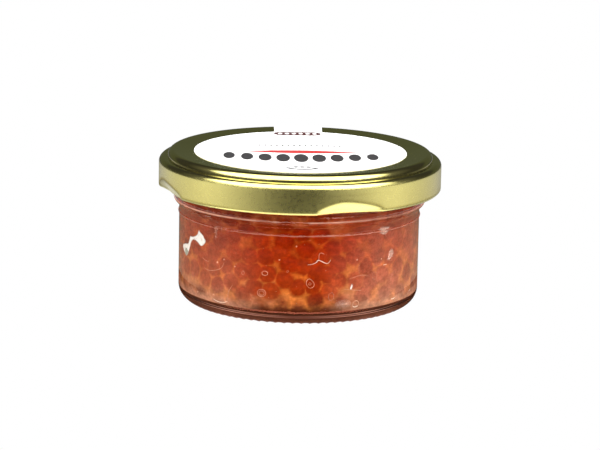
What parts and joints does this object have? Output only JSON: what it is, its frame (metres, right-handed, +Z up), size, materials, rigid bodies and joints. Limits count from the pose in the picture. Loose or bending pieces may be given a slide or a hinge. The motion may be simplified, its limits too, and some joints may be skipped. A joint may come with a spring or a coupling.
{
  "type": "jar of salmon roe",
  "caption": "Shut clear glass jar full of salmon roe, with a gold twist-off lid, a round paper label and its seal strip over the lid's edge.",
  "frame": {"origin": "middle of the ring that the jar rests on, at table height", "axes": "+Z up along the jar's axis, -Y towards the viewer, with the seal strip at the back on +Y"},
  "size_m": [0.0734, 0.0739, 0.0403],
  "materials": {
    "clear_glass": "clear, smooth and glossy",
    "gold_lacquer": "tinplate with a glossy gold lacquer",
    "white_paper": "coated white paper with a faint sheen",
    "salmon_roe": "wet, glossy, orange-red and translucent"
  },
  "bodies": {
    "root": {"glass_jar": "clear_glass", "lid": "gold_lacquer", "label": "white_paper", "roe": "salmon_roe"}
  },
  "joints": []
}
